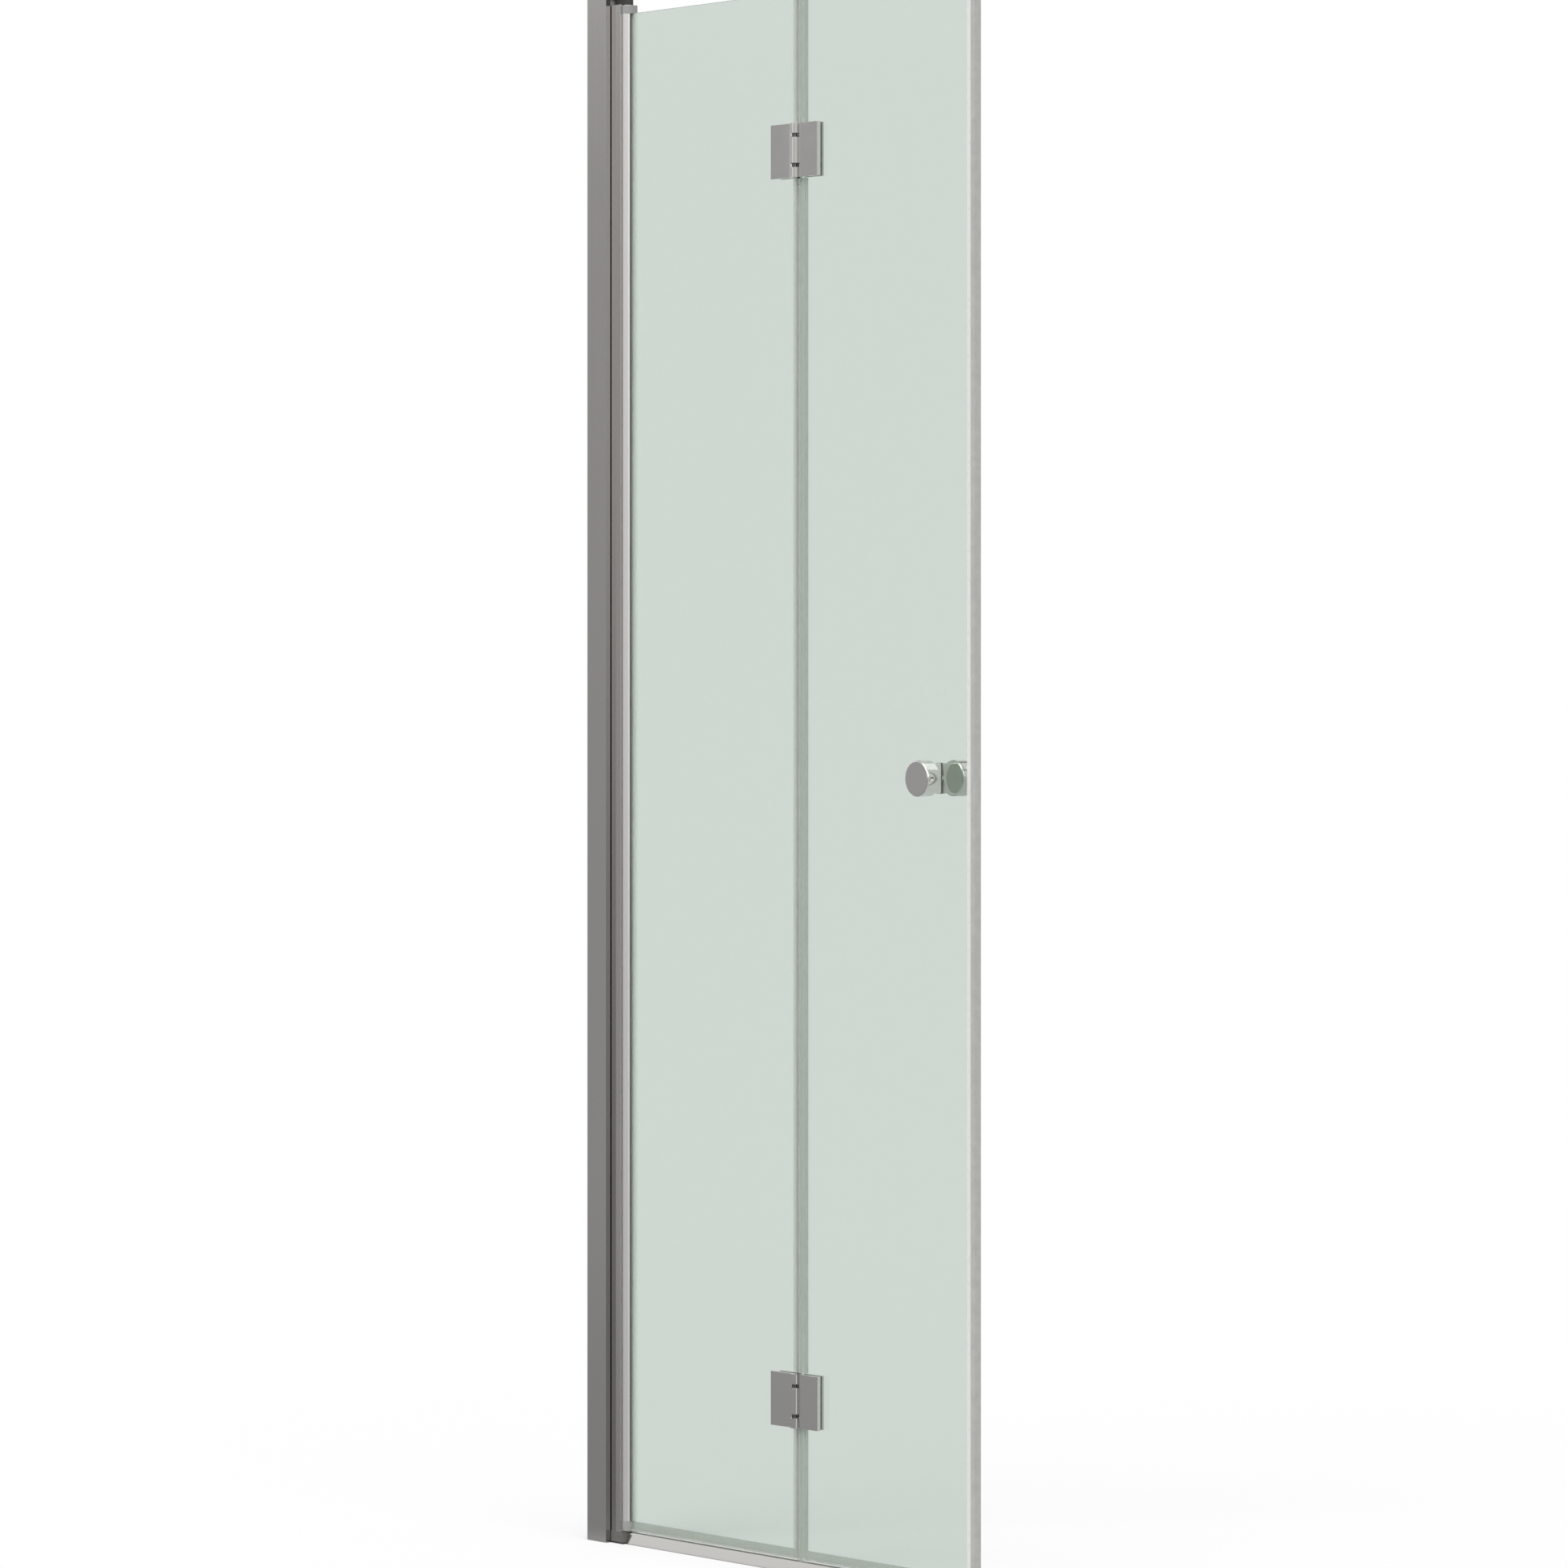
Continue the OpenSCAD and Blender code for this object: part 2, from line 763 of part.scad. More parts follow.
// Flanged bushes in both ends of the middle barrels
module hinge_bushes() {
    color(dark_grey) for (level = hinge_levels, side = [0, 1])
        translate([pin_x, pin_y, level]) mirror([0, 0, side]) translate([0, 0, -barrel_h / 2])
            bush(hinge_bush_r, pin_d / 2 + run_play, hinge_bush_l, barrel_r - 0.6);
}

module outer_glass() {
    color(glass_colour) difference() {
        upright(glass_low, glass_top)
            span(outer_left, outer_right, -glass_half, glass_half);
        hinge_holes(pin_x + screw_reach);
        crosswise(knob_x, knob_z, knob_hole_d / 2, -glass_t, glass_t);
    }
}

module outer_bottom_seal() {
    start = outer_left + outer_leg;
    color(clear) along(start, outer_right - edge_leg - start) bottom_seal_outline();
}

module outer_mid_seal() {
    color(clear) for (run = seal_runs) upright(run[0], run[1])
        translate([outer_left, 0]) mirror([1, 0]) mid_seal_outline(outer_leg);
}

module magnetic_seal_grip() {
    outer = glass_half + seal_t;
    color(clear) upright(seal_low, glass_top) translate([outer_right, 0]) difference() {
        span(-edge_leg, seal_t, -magnet_d / 2, magnet_d / 2);
        span(-edge_leg - 1, 0, -glass_half, glass_half);
        pair(-edge_leg - 1, 0, outer, magnet_d);
    }
}

module magnetic_strip() {
    color(magnet_grey) upright(seal_low, glass_top)
        translate([outer_right + seal_t, 0]) span(0, magnet_w, -magnet_d / 2, magnet_d / 2);
}

// ---- Knob ----

// Flat upright bar with rounded corners
module neck_outline(grow) {
    w = neck_w / 2 + grow - neck_round;
    h = neck_h / 2 + grow - neck_round;
    span(-w, w, -h - neck_round, h + neck_round);
    span(-w - neck_round, w + neck_round, -h, h);
    for (x = [-w, w], y = [-h, h]) translate([x, y]) circle(neck_round);
}

// Turns an outline or a turned piece so that its Z axis points at the room
module facing_room() {
    translate([knob_x, 0, knob_z]) rotate([90, 0, 0]) children();
}

// One half of the knob, with its neck on the glass and its head to the room
module knob_half() {
    color(chrome) difference() {
        union() {
            translate([0, 0, neck_base]) linear_extrude(neck_l + eps) neck_outline(0);
            rotate_extrude($fn = 96) translate([0, head_base]) {
                span(0, head_d / 2 - head_round, 0, head_t);
                span(0, head_d / 2, head_round, head_t - head_round);
                for (y = [head_round, head_t - head_round])
                    translate([head_d / 2 - head_round, y]) circle(head_round, $fn = 32);
            }
        }
        translate([0, 0, neck_base - 1]) cylinder(r = stud_r, h = stud_reach - neck_base + 1);
        translate([0, 0, head_front - grub_depth]) rotate([0, 90, 0])
            cylinder(d = grub_d, h = head_d);
    }
}

module outer_knob() {
    facing_room() knob_half();
}

module inner_knob() {
    mirror([0, 1, 0]) facing_room() knob_half();
}

module knob_pad() {
    facing_room() difference() {
        translate([0, 0, glass_half]) linear_extrude(knob_pad_t) neck_outline(0.4);
        cylinder(r = stud_r, h = head_front);
    }
}

module outer_knob_pad() {
    color(black) knob_pad();
}

module inner_knob_pad() {
    color("white") mirror([0, 1, 0]) knob_pad();
}

module knob_stud() {
    color(steel) crosswise(knob_x, knob_z, stud_r, -stud_reach, stud_reach);
}

module knob_sleeve() {
    color(clear) difference() {
        crosswise(knob_x, knob_z, knob_hole_d / 2 - run_play, -glass_half, glass_half);
        crosswise(knob_x, knob_z, stud_r, -glass_t, glass_t);
    }
}

module knob_grub_screws() {
    length = head_d / 2 - stud_r - grub_sink;
    color(steel) for (side = [0, 1]) mirror([0, side, 0]) facing_room()
        translate([0, 0, head_front - grub_depth]) rotate([0, 90, 0])
            translate([0, 0, stud_r]) difference() {
                cylinder(d = grub_d, h = length);
                translate([0, 0, length - 2]) cylinder(d = grub_d / 2, h = 3, $fn = 6);
            }
}

wall_profile();
wall_profile_cover();
post_profile();
clamp_screws();
clamp_screw_caps();
head_block();
foot_block();
foot_pad();
head_pivot_pin();
foot_pivot_pin();
threshold_rail();
threshold_end_cap();
pivot_profile();
pivot_top_cap();
pivot_bottom_cap();
pivot_bushes();
front_gasket();
rear_glazing_strip();
inner_glass();
inner_bottom_seal();
inner_mid_seal();
upper_hinge_inner_plate();
lower_hinge_inner_plate();
upper_hinge_inner_back();
lower_hinge_inner_back();
inner_hinge_pads();
inner_hinge_sleeves();
inner_hinge_screws();
upper_hinge_pin();
lower_hinge_pin();
hinge_set_screws();
upper_hinge_outer_plate();
lower_hinge_outer_plate();
upper_hinge_outer_back();
lower_hinge_outer_back();
outer_hinge_pads();
outer_hinge_sleeves();
outer_hinge_screws();
hinge_bushes();
outer_glass();
outer_bottom_seal();
outer_mid_seal();
magnetic_seal_grip();
magnetic_strip();
outer_knob();
inner_knob();
outer_knob_pad();
inner_knob_pad();
knob_stud();
knob_sleeve();
knob_grub_screws();
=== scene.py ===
import json
import math

import bpy
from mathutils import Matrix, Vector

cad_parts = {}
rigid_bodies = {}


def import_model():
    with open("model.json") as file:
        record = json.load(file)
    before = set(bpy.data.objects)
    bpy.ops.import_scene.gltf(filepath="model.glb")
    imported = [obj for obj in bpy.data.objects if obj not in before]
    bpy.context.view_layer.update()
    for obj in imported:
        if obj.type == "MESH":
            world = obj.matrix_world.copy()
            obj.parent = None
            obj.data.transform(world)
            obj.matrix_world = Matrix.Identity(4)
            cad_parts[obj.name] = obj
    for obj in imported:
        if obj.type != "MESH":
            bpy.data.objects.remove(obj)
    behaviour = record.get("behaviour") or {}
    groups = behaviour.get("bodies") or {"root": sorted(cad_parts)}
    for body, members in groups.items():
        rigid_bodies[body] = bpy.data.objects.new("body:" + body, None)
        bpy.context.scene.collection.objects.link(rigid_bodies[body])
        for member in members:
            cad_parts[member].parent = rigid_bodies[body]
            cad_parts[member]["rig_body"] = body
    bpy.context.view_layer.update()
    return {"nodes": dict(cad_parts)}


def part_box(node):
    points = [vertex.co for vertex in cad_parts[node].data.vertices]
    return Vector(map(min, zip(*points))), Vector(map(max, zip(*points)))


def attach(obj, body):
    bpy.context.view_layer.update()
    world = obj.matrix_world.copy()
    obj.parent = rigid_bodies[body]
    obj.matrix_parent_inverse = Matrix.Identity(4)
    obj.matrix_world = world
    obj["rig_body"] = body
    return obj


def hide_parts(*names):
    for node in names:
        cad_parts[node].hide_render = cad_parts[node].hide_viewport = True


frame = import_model()


# ---- Wall profile ----
# A bright anodised aluminium extrusion, screwed upright to the tiled wall.
# It is a deep U with two returned lips, cut square, with edges just broken.
# A moulded cover is pushed into its top.


def linear(code):
    """The linear colour of an sRGB hex value."""
    parts = [int(code[i : i + 2], 16) / 255 for i in (0, 2, 4)]
    return [p / 12.92 if p <= 0.04045 else ((p + 0.055) / 1.055) ** 2.4 for p in parts] + [1.0]


def add(tree, kind, values=None, links=None, **settings):
    """Adds a node with its settings, its socket values and the links into it."""
    node = tree.nodes.new("ShaderNode" + kind)
    for name, value in settings.items():
        setattr(node, name, value)
    for socket, value in (values or {}).items():
        node.inputs[socket].default_value = value
    for socket, source in (links or {}).items():
        tree.links.new(source, node.inputs[socket])
    return node


def new_material(name, **values):
    """A material with a Principled shader that has these socket values."""
    material = bpy.data.materials.new(name)
    material.use_nodes = True
    shader = material.node_tree.nodes["Principled BSDF"]
    for socket, value in values.items():
        shader.inputs[socket.replace("_", " ")].default_value = value
    return material, material.node_tree, shader


def roughened(tree, shader, pattern, smooth, rough, low=0.3, high=0.7):
    """The surface goes from smooth to rough where the pattern goes from low to high."""
    dulled = add(
        tree,
        "MapRange",
        {"From Min": low, "From Max": high, "To Min": smooth, "To Max": rough},
        {"Value": pattern},
    )
    tree.links.new(dulled.outputs[0], shader.inputs["Roughness"])


def soft_edged(name, node, material, edge):
    """A copy of a solid, joined up, with its sharp edges rounded by that many millimetres."""
    joined_within = 0.000002  # metres
    flat_within = math.radians(0.5)
    rounded_from = math.radians(40)
    smooth_up_to = math.radians(50)
    bpy.ops.object.select_all(action="DESELECT")
    piece = bpy.data.objects.new(name, frame["nodes"][node].data.copy())
    bpy.context.scene.collection.objects.link(piece)
    piece.select_set(True)
    bpy.context.view_layer.objects.active = piece
    bpy.ops.object.mode_set(mode="EDIT")
    bpy.ops.mesh.select_all(action="SELECT")
    bpy.ops.mesh.remove_doubles(threshold=joined_within)
    bpy.ops.mesh.dissolve_limited(angle_limit=flat_within)
    bpy.ops.object.mode_set(mode="OBJECT")
    bevel = piece.modifiers.new("edges", "BEVEL")
    bevel.width = edge / 1000
    bevel.segments = 2
    bevel.limit_method = "ANGLE"
    bevel.angle_limit = rounded_from
    bpy.ops.object.modifier_apply(modifier="edges")
    bpy.ops.object.shade_smooth_by_angle(angle=smooth_up_to)
    piece.modifiers.new("faces", "WEIGHTED_NORMAL").keep_sharp = True
    bpy.ops.object.modifier_apply(modifier="faces")
    piece.data.materials.clear()
    piece.data.materials.append(material)
    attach(piece, frame["nodes"][node]["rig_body"])
    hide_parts(node)
    return piece


def anodised(name, lines_per_metre, code="C6C4C1", smooth=0.1, rough=0.2):
    """Anodised aluminium: a soft grey mirror, with faint die lines along the extrusion."""
    material, tree, shader = new_material(
        name, Base_Color=linear(code), Metallic=1.0, Roughness=rough
    )
    place = add(tree, "TexCoord").outputs["Object"]
    drawn_out = add(tree, "Mapping", {"Scale": lines_per_metre}, {"Vector": place}).outputs[0]
    lines = add(
        tree, "TexNoise", {"Scale": 1.0, "Detail": 3.0}, {"Vector": drawn_out}
    ).outputs["Fac"]
    # Cloudy patches about 60 mm across, where hands and water have dulled it.
    clouds = add(tree, "TexNoise", {"Scale": 16.0, "Detail": 4.0}, {"Vector": place}).outputs["Fac"]
    share_of_clouds = 0.35
    mixed = add(
        tree, "Math", {1: share_of_clouds}, {0: clouds, 2: lines}, operation="MULTIPLY_ADD"
    ).outputs[0]
    roughened(tree, shader, mixed, smooth, rough, low=0.3, high=1.1)
    # The lines are 0.02 mm deep.
    grooves = add(tree, "Bump", {"Strength": 0.15, "Distance": 0.00002}, {"Height": lines})
    tree.links.new(grooves.outputs[0], shader.inputs["Normal"])
    return material


# Die lines are about 0.8 mm apart here; the real ones are finer than a pixel.
upright_lines = (1250, 1250, 2)
anodised_aluminium = anodised("anodised_aluminium_upright", upright_lines)


def moulded_plastic(name, code, roughness):
    """Injection moulded plastic with the fine spark-eroded grain of its mould."""
    material, tree, shader = new_material(
        name, Base_Color=linear(code), Roughness=roughness, IOR=1.49
    )
    place = add(tree, "TexCoord").outputs["Object"]
    # Patches about 11 mm across, a little darker or lighter than the rest.
    patches = add(
        tree, "TexNoise", {"Scale": 90.0, "Detail": 3.0}, {"Vector": place}
    ).outputs["Fac"]
    tone = add(
        tree,
        "MapRange",
        {"From Min": 0.3, "From Max": 0.7, "To Min": 0.94, "To Max": 1.06},
        {"Value": patches},
    ).outputs[0]
    shade = add(tree, "HueSaturation", {"Color": linear(code)}, {"Value": tone}).outputs[0]
    tree.links.new(shade, shader.inputs["Base Color"])
    # Grain of about 0.5 mm, coarser than the real 0.1 mm so that it shows, and 0.04 mm deep.
    grain = add(
        tree, "TexNoise", {"Scale": 2000.0, "Detail": 2.0}, {"Vector": place}
    ).outputs["Fac"]
    roughened(tree, shader, grain, smooth=roughness - 0.05, rough=roughness + 0.07)
    bump = add(tree, "Bump", {"Strength": 0.25, "Distance": 0.00004}, {"Height": grain})
    tree.links.new(bump.outputs[0], shader.inputs["Normal"])
    return material


silver_grey_plastic = moulded_plastic("silver_grey_moulded_plastic", "B4B6B3", roughness=0.4)

soft_edged("wall_extrusion", "wall_profile", anodised_aluminium, edge=0.7)
soft_edged(
    "wall_extrusion_cover", "wall_profile_cover", silver_grey_plastic, edge=0.4
)


# ---- Post ----
# The same bright anodised extrusion, slid into the wall profile and clamped
# there by steel screws through the back, under small push-on caps.


def turned(name, code):
    """A turned metal, whose grain runs round it."""
    material, tree, shader = new_material(
        name, Base_Color=linear(code), Metallic=1.0, Roughness=0.3
    )
    place = add(tree, "TexCoord").outputs["Object"]
    # Marks 0.7 mm apart along a pin, coarser than the real ones so that they show.
    squeezed = add(tree, "Mapping", {"Scale": (60, 60, 1400)}, {"Vector": place}).outputs[0]
    marks = add(
        tree, "TexNoise", {"Scale": 1.0, "Detail": 2.0}, {"Vector": squeezed}
    ).outputs["Fac"]
    roughened(tree, shader, marks, smooth=0.22, rough=0.34)
    return material


turned_steel = turned("turned_stainless_steel", "C9C8C5")

soft_edged("post_extrusion", "post_profile", anodised_aluminium, edge=0.3)
soft_edged("post_clamp_screws", "clamp_screws", turned_steel, edge=0.25)
soft_edged(
    "post_clamp_screw_caps", "clamp_screw_caps", silver_grey_plastic, edge=0.3
)


# ---- Blocks that hold the pivot pins ----
# A black moulded block on top of the post and a dark grey one under it, each
# with a steel pin. The lower one stands on a black rubber pad.

black_plastic = moulded_plastic("black_moulded_plastic", "2E2D2B", roughness=0.5)
dark_grey_plastic = moulded_plastic("dark_grey_moulded_plastic", "62605D", roughness=0.5)

# Moulded rubber: dull black, with a dusty bloom in patches of 2.5 mm.
black_rubber, tree, shader = new_material(
    "black_moulded_rubber", Base_Color=linear("1C1C1B"), Roughness=0.7, IOR=1.52
)
place = add(tree, "TexCoord").outputs["Object"]
bloom = add(tree, "TexNoise", {"Scale": 400.0, "Detail": 4.0}, {"Vector": place}).outputs["Fac"]
tint = add(
    tree,
    "Mix",
    {"A": linear("161616"), "B": linear("2A2A29")},
    {"Factor": bloom},
    data_type="RGBA",
).outputs["Result"]
tree.links.new(tint, shader.inputs["Base Color"])

soft_edged("head_block_moulding", "head_block", black_plastic, edge=0.5)
soft_edged("foot_block_moulding", "foot_block", dark_grey_plastic, edge=0.5)
soft_edged("foot_pad_rubber", "foot_pad", black_rubber, edge=0.3)
soft_edged("head_pin", "head_pivot_pin", turned_steel, edge=0.4)
soft_edged("foot_pin", "foot_pivot_pin", turned_steel, edge=0.4)


# ---- Threshold ----
# A low aluminium rail on the tray under the leaves. Its front leans back a
# little, a long slope drains inwards, and a moulded cap closes its end.

level_lines = (2, 1250, 1250)
level_aluminium = anodised("anodised_aluminium_level", level_lines)
soft_edged("threshold_extrusion", "threshold_rail", level_aluminium, edge=0.3)
soft_edged(
    "threshold_moulded_cap", "threshold_end_cap", silver_grey_plastic, edge=0.4
)


# ---- Pivot profile ----
# The aluminium bead that turns in the post and grips the glass, with a dark
# grey rubber gasket in front of the glass. A moulded cap closes each end, and
# turns on its pin in a nylon bush.

white_nylon = moulded_plastic("white_turned_nylon", "E8E6E1", roughness=0.4)
mid_grey_plastic = moulded_plastic("mid_grey_moulded_plastic", "8F918E", roughness=0.4)
# The gasket is a greyer rubber than the pads, and reads as a dark grey line.
grey_rubber = moulded_plastic("dark_grey_extruded_rubber", "4C4C4A", roughness=0.6)

# The turning bead has a paler satin finish, so it is equally light all the way up.
satin_aluminium = anodised(
    "satin_anodised_aluminium", upright_lines, "D9D7D4", smooth=0.42, rough=0.5
)
soft_edged("pivot_extrusion", "pivot_profile", satin_aluminium, edge=0.25)
soft_edged("pivot_upper_cap", "pivot_top_cap", mid_grey_plastic, edge=0.4)
soft_edged("pivot_lower_cap", "pivot_bottom_cap", mid_grey_plastic, edge=0.4)
soft_edged("pivot_nylon_bushes", "pivot_bushes", white_nylon, edge=0.15)
soft_edged("glass_front_gasket", "front_gasket", grey_rubber, edge=0.3)


# ---- Glass panels ----
# Toughened float glass, 6 mm thick, with ground arrises and drilled holes. The
# iron in it gives the faint green that deepens along the edges.


def ray_kind(tree, first, second, operation="MAXIMUM"):
    """Is 1 for rays of either kind and 0 for others. With MULTIPLY, only rays of both get 1."""
    rays = add(tree, "LightPath").outputs
    return add(
        tree,
        "Math",
        links={0: rays[f"Is {first} Ray"], 1: rays[f"Is {second} Ray"]},
        operation=operation,
    ).outputs[0]


def let_light_through(tree, shader, tint):
    """Lamps and bounced light pass this material unbent, so what is behind it is lit."""
    passing = ray_kind(tree, "Shadow", "Diffuse")
    open_way = add(tree, "BsdfTransparent", {"Color": linear(tint)}).outputs[0]
    either = add(tree, "MixShader", links={0: passing, 1: shader.outputs[0], 2: open_way})
    tree.links.new(either.outputs[0], tree.nodes["Material Output"].inputs["Surface"])


float_glass, tree, shader = new_material(
    "toughened_float_glass",
    Base_Color=linear("D1DAD3"),
    Roughness=0.0,
    IOR=1.52,
    Transmission_Weight=1.0,
)
place = add(tree, "TexCoord").outputs["Object"]
# Dried water film in patches of about 80 mm.
film = add(tree, "TexNoise", {"Scale": 12.0, "Detail": 5.0}, {"Vector": place}).outputs["Fac"]
roughened(tree, shader, film, smooth=0.0, rough=0.02, low=0.45, high=0.75)
faint_green = "FAFCFA"
let_light_through(tree, shader, faint_green)

# The ground edges: frosted by the wheel, and a deeper green than the faces.
ground_glass, tree, shader = new_material(
    "ground_glass_edge",
    Base_Color=linear("A9C6B5"),
    Roughness=0.35,
    IOR=1.52,
    Transmission_Weight=1.0,
)
place = add(tree, "TexCoord").outputs["Object"]
# Wheel marks 1 mm apart, coarser than the real ones so that they show.
scratches = add(
    tree, "TexNoise", {"Scale": 1000.0, "Detail": 2.0}, {"Vector": place}
).outputs["Fac"]
roughened(tree, shader, scratches, smooth=0.28, rough=0.42)
let_light_through(tree, shader, faint_green)

# The glass is drawn in by 0.05 mm a side from what touches it, so both can be told apart.
drawn_in = 0.00005
# Faces that look along the thickness of a pane are clear, and the others ground.
along_thickness = 0.9

for side in ("inner", "outer"):
    panel = soft_edged(
        f"{side}_glass_panel", f"{side}_glass", float_glass, edge=0.5
    )
    panel.data.materials.append(ground_glass)
    for face in panel.data.polygons:
        face.material_index = int(abs(face.normal.y) < along_thickness)
    low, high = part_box(f"{side}_glass")
    bpy.ops.object.mode_set(mode="EDIT")
    bpy.ops.mesh.select_all(action="SELECT")
    bpy.ops.transform.resize(
        value=(1 - 2 * drawn_in / (high[0] - low[0]), 1 - 2 * drawn_in / (high[1] - low[1]), 1),
        center_override=((low[0] + high[0]) / 2, (low[1] + high[1]) / 2, 0),
    )
    bpy.ops.object.mode_set(mode="OBJECT")


# ---- Seals ----
# Extruded soft vinyl. The seals clipped on the lower and fold edges are clear,
# the strip wedged behind the glass is milky, and a milky clip on the free edge
# holds a grey magnetic bar.


def extruded_vinyl(name, code, clearness, smooth, rough):
    """Soft vinyl, whose roughness varies over waves of about 8 mm left by the extruder."""
    material, tree, shader = new_material(
        name,
        Base_Color=linear(code),
        Roughness=rough,
        IOR=1.53,
        Transmission_Weight=clearness,
    )
    place = add(tree, "TexCoord").outputs["Object"]
    waves = add(tree, "TexNoise", {"Scale": 120.0, "Detail": 3.0}, {"Vector": place}).outputs["Fac"]
    roughened(tree, shader, waves, smooth, rough)
    let_light_through(tree, shader, "F2F4F1")
    return material


clear_vinyl = extruded_vinyl("clear_soft_vinyl", "D9DDD8", clearness=0.85, smooth=0.14, rough=0.26)
# The milky ones hide what is behind them.
milky_vinyl = extruded_vinyl("milky_glazing_vinyl", "FAFAF7", clearness=0.0, smooth=0.3, rough=0.4)
frosted_vinyl = extruded_vinyl(
    "frosted_clip_vinyl", "DCDCD8", clearness=0.0, smooth=0.25, rough=0.35
)
magnet_vinyl = moulded_plastic("grey_magnetic_vinyl", "ACACA9", roughness=0.4)

soft_edged("glass_rear_strip", "rear_glazing_strip", milky_vinyl, edge=0.15)
for name, node in (("bottom_wiper", "bottom_seal"), ("fold_seal", "mid_seal")):
    for side in ("inner", "outer"):
        soft_edged(f"{side}_{name}", f"{side}_{node}", clear_vinyl, edge=0.15)
soft_edged("magnetic_seal_clip", "magnetic_seal_grip", frosted_vinyl, edge=0.15)
soft_edged("magnet_bar", "magnetic_strip", magnet_vinyl, edge=0.5)


# ---- Hinges ----
# Chrome-plated cast leaves, clamped on the glass by back plates and screws
# through clear vinyl pads, and turning on steel pins in dark grey bushes.

chrome_plate, tree, shader = new_material(
    "polished_chrome_plate", Base_Color=linear("DAD9D6"), Metallic=1.0, Roughness=0.1
)
place = add(tree, "TexCoord").outputs["Object"]
# Finger marks and dried drops in patches of about 17 mm.
smudges = add(tree, "TexNoise", {"Scale": 60.0, "Detail": 5.0}, {"Vector": place}).outputs["Fac"]
roughened(tree, shader, smudges, smooth=0.07, rough=0.12, low=0.3, high=0.8)

# The hinge pins' steel colour is darkened as painted shade, so they show as the shaded gaps between
# the knuckles.
pin_steel_in_painted_shade = turned("pin_steel_painted_shade", "6E6C69")

for level in ("upper", "lower"):
    for side in ("inner", "outer"):
        for name, node in (("leaf", "plate"), ("clamp", "back")):
            soft_edged(
                f"{level}_{side}_hinge_{name}",
                f"{level}_hinge_{side}_{node}",
                chrome_plate,
                edge=0.4,
            )
    soft_edged(f"{level}_hinge_turned_pin", f"{level}_hinge_pin", pin_steel_in_painted_shade, edge=0.3)
for side in ("inner", "outer"):
    soft_edged(
        f"{side}_clear_hinge_pads", f"{side}_hinge_pads", clear_vinyl, edge=0.2
    )
    soft_edged(
        f"{side}_hole_sleeves", f"{side}_hinge_sleeves", clear_vinyl, edge=0.2
    )
    soft_edged(f"{side}_plate_screws", f"{side}_hinge_screws", turned_steel, edge=0.25)
soft_edged("hinge_pin_set_screws", "hinge_set_screws", turned_steel, edge=0.1)
soft_edged(
    "hinge_barrel_bushes", "hinge_bushes", dark_grey_plastic, edge=0.15
)


# ---- Knob ----
# A pair of turned, chrome-plated knobs, held by grub screws on a steel stud
# through the glass, with a black pad under the outer one and a pale one inside.

pale_vinyl = moulded_plastic("pale_moulded_vinyl", "DEDDD9", roughness=0.45)

for side in ("outer", "inner"):
    soft_edged(f"{side}_turned_knob", f"{side}_knob", chrome_plate, edge=0.3)
soft_edged("outer_knob_rubber", "outer_knob_pad", black_rubber, edge=0.3)
soft_edged("inner_knob_pale_pad", "inner_knob_pad", pale_vinyl, edge=0.3)
soft_edged("knob_through_stud", "knob_stud", turned_steel, edge=0.3)
soft_edged("knob_hole_sleeve", "knob_sleeve", clear_vinyl, edge=0.2)
soft_edged("knob_set_screws", "knob_grub_screws", turned_steel, edge=0.3)


# ---- Floor, light and camera ----
# A plain pale floor in a white studio whose walls are softly shaded, and a
# camera 1.1 m up and far back, at 51.5 degrees to the front of the door.


def grey_ramp(tree, source, stops):
    """Plain greys over a value from 0 to 1: each stop is a place on it and its level."""
    ramp = add(tree, "ValToRGB", links={"Fac": source})
    while len(ramp.color_ramp.elements) < len(stops):
        ramp.color_ramp.elements.new(0.5)
    for element, (at, level) in zip(ramp.color_ramp.elements, stops):
        element.position = at
        element.color = (level, level, level, 1)
    return ramp.outputs[0]


white = (1, 1, 1, 1)
floor_size = 400  # metres
floor_glow = 0.516

bpy.ops.object.select_all(action="DESELECT")
bpy.ops.mesh.primitive_plane_add(size=floor_size, location=(0, 0, 0))
floor = bpy.context.active_object
floor.name = "floor"
paint, tree, shader = new_material(
    "pale_floor_paint", Base_Color=linear("9F9F9F"), Roughness=0.9, Specular_IOR_Level=0.0
)
# The camera and the glass see a floor that glows as white as the studio.
seen = ray_kind(tree, "Camera", "Transmission")
strength = add(tree, "Math", {1: floor_glow}, {0: seen}, operation="MULTIPLY").outputs[0]
glow = add(tree, "Emission", {"Color": white}, {"Strength": strength}).outputs[0]
plain = add(tree, "AddShader", links={0: shader.outputs[0], 1: glow}).outputs[0]
# Metal sees a painted reflection of the floor, which glows instead of being lit: dim in front of
# the door, dimmest at its foot as painted shadow of the door, and brighter behind it, from 4 m in
# front to 1 m behind.
backwards = (0.3, 0.95, 0.0)
place = add(tree, "TexCoord").outputs["Object"]
behind = add(
    tree, "VectorMath", {1: backwards}, {0: place}, operation="DOT_PRODUCT"
).outputs["Value"]
depth = add(tree, "MapRange", {"From Min": -4.0, "From Max": 1.0}, {"Value": behind}).outputs[0]
floor_reflection_levels = grey_ramp(
    tree, depth, [(0.0, 0.405), (0.2, 0.385), (0.47, 0.35), (0.776, 0.34), (0.85, 0.75)]
)
painted_floor_reflection = add(tree, "Emission", links={"Color": floor_reflection_levels}).outputs[0]
bounced = ray_kind(tree, "Glossy", "Reflection", "MULTIPLY")
either = add(tree, "MixShader", links={0: bounced, 1: plain, 2: painted_floor_reflection})
tree.links.new(either.outputs[0], tree.nodes["Material Output"].inputs["Surface"])
floor.data.materials.append(paint)

world = bpy.data.worlds.new("studio")
bpy.context.scene.world = world
world.use_nodes = True
tree = world.node_tree
direction = add(tree, "TexCoord").outputs["Generated"]
ways = add(tree, "SeparateXYZ", links={0: direction}).outputs

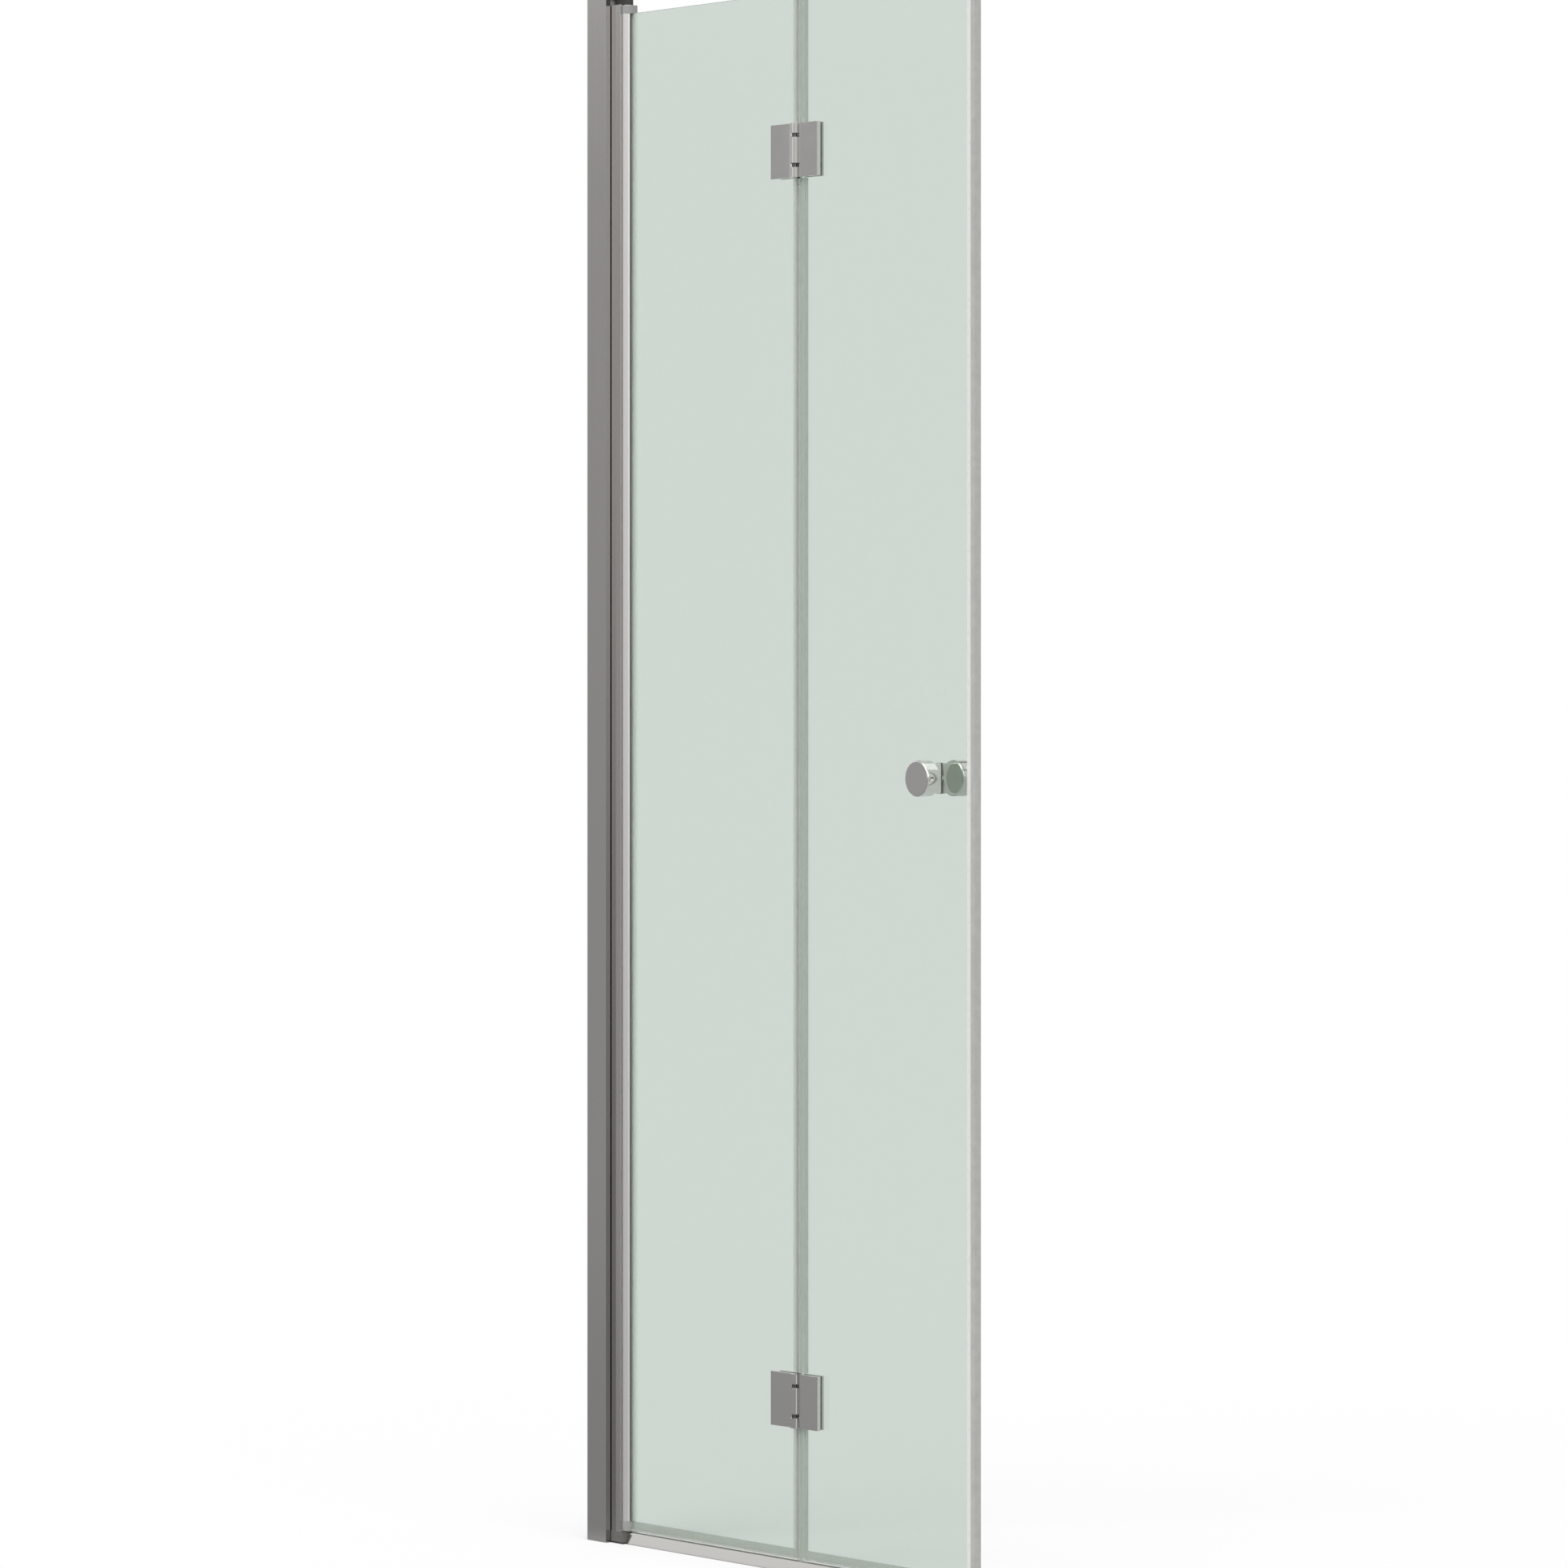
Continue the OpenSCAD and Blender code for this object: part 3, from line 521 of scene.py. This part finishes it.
# Once round the room, from -X by -Y, +X and +Y back to -X.
turn = add(tree, "Math", links={0: ways["Y"], 1: ways["X"]}, operation="ARCTAN2").outputs[0]
around = add(
    tree, "MapRange", {"From Min": -math.pi, "From Max": math.pi}, {"Value": turn}
).outputs[0]
walls = grey_ramp(
    tree,
    around,
    [
        (0.0, 0.62), (0.06, 0.6), (0.083, 0.45), (0.107, 0.42), (0.13, 0.45), (0.155, 0.72),
        (0.21, 0.86), (0.265, 0.75), (0.3, 0.5), (0.325, 0.48), (0.36, 0.55), (0.383, 0.62),
        (0.388, 0.95), (0.399, 0.95), (0.404, 0.62), (0.468, 0.66), (0.52, 0.68), (0.57, 0.72),
        (0.607, 0.6), (0.64, 0.88), (0.80, 1.0), (0.93, 1.0), (0.985, 0.62),
    ],
)

# From straight down to straight up, with a dim band high up and a bright zenith.
height = add(tree, "MapRange", {"From Min": -1, "From Max": 1}, {"Value": ways["Z"]}).outputs[0]
ceiling = grey_ramp(
    tree, height, [(0.5, 1.0), (0.772, 1.0), (0.794, 0.5), (0.93, 0.5), (0.96, 1.3)]
)

# The walls are a little lighter at 5 degrees up than at their foot, and from
# there to 9 degrees up they pass into the ceiling. These are the sines.
wall_top = 0.087
ceiling_foot = 0.156
rising = add(
    tree,
    "MapRange",
    {"From Min": 0.0, "From Max": wall_top, "To Min": 0.98, "To Max": 1.0},
    {"Value": ways["Z"]},
).outputs[0]
lit_walls = add(
    tree, "VectorMath", links={0: walls, "Scale": rising}, operation="SCALE"
).outputs[0]
above = add(
    tree,
    "MapRange",
    {"From Min": wall_top, "From Max": ceiling_foot},
    {"Value": ways["Z"]},
    interpolation_type="SMOOTHSTEP",
).outputs[0]
shaded = add(
    tree, "Mix", links={"Factor": above, "A": lit_walls, "B": ceiling}, data_type="RGBA"
).outputs["Result"]

# The camera and the glass see a white studio. Metal sees its walls as they are,
# shaded from wall to wall, because plain white would bleach the chrome.
seen = ray_kind(tree, "Camera", "Transmission")
shown = add(
    tree, "Mix", {"B": white}, {"Factor": seen, "A": shaded}, data_type="RGBA"
).outputs["Result"]
tree.links.new(shown, tree.nodes["Background"].inputs["Color"])

# A soft key from the front and above, and a weaker fill from the right. The
# tilts about X, Y and Z are in degrees, as is the width of each lamp in the sky.
lamp_width = 40
for name, energy, tilts in (("key", 1.75, (40, -12, 20)), ("fill", 1.0, (60, 0, 75))):
    bpy.ops.object.light_add(type="SUN", rotation=[math.radians(tilt) for tilt in tilts])
    lamp = bpy.context.active_object
    lamp.name = name
    lamp.data.energy = energy
    lamp.data.angle = math.radians(lamp_width)

# The camera is level, and its frame is shifted down by 134 of its 1932 pixels,
# so that more of the door is seen below eye height than above it.
heading = 51.5
picture_height = 1932
shifted_down = 134
bpy.ops.object.camera_add(
    location=(6.6926, -5.0206, 1.115), rotation=(math.radians(90), 0, math.radians(heading))
)
camera = bpy.context.active_object
camera.data.lens = 148.62
camera.data.sensor_width = 36
camera.data.shift_y = -shifted_down / picture_height
camera.data.clip_start = 0.1
camera.data.clip_end = 500
bpy.context.scene.camera = camera
bpy.context.scene.view_settings.view_transform = "Standard"
